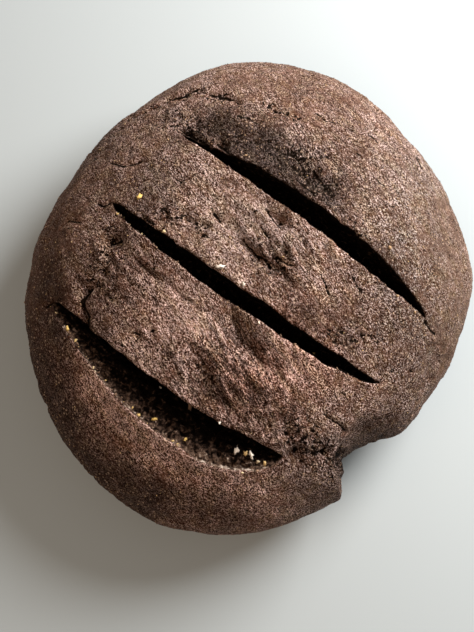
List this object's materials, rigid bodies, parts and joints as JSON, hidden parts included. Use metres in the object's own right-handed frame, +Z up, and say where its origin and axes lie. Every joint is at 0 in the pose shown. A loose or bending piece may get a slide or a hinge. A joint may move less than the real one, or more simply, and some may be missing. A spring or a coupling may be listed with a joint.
{
  "type": "rye bread loaf",
  "caption": "Whole round dark rye loaf with long parallel slashes across its crown, a folded lower edge and a flat base.",
  "frame": {"origin": "middle of the loaf's box at the flat base, on the surface it rests on", "axes": "+Z up through the crown, +Y along the loaf's longest way, +X to the right when +Y points away"},
  "size_m": [0.2108, 0.2274, 0.0819],
  "materials": {
    "crust": "matte, rough dark rye crust"
  },
  "bodies": {
    "root": {"loaf": "crust"}
  },
  "joints": []
}
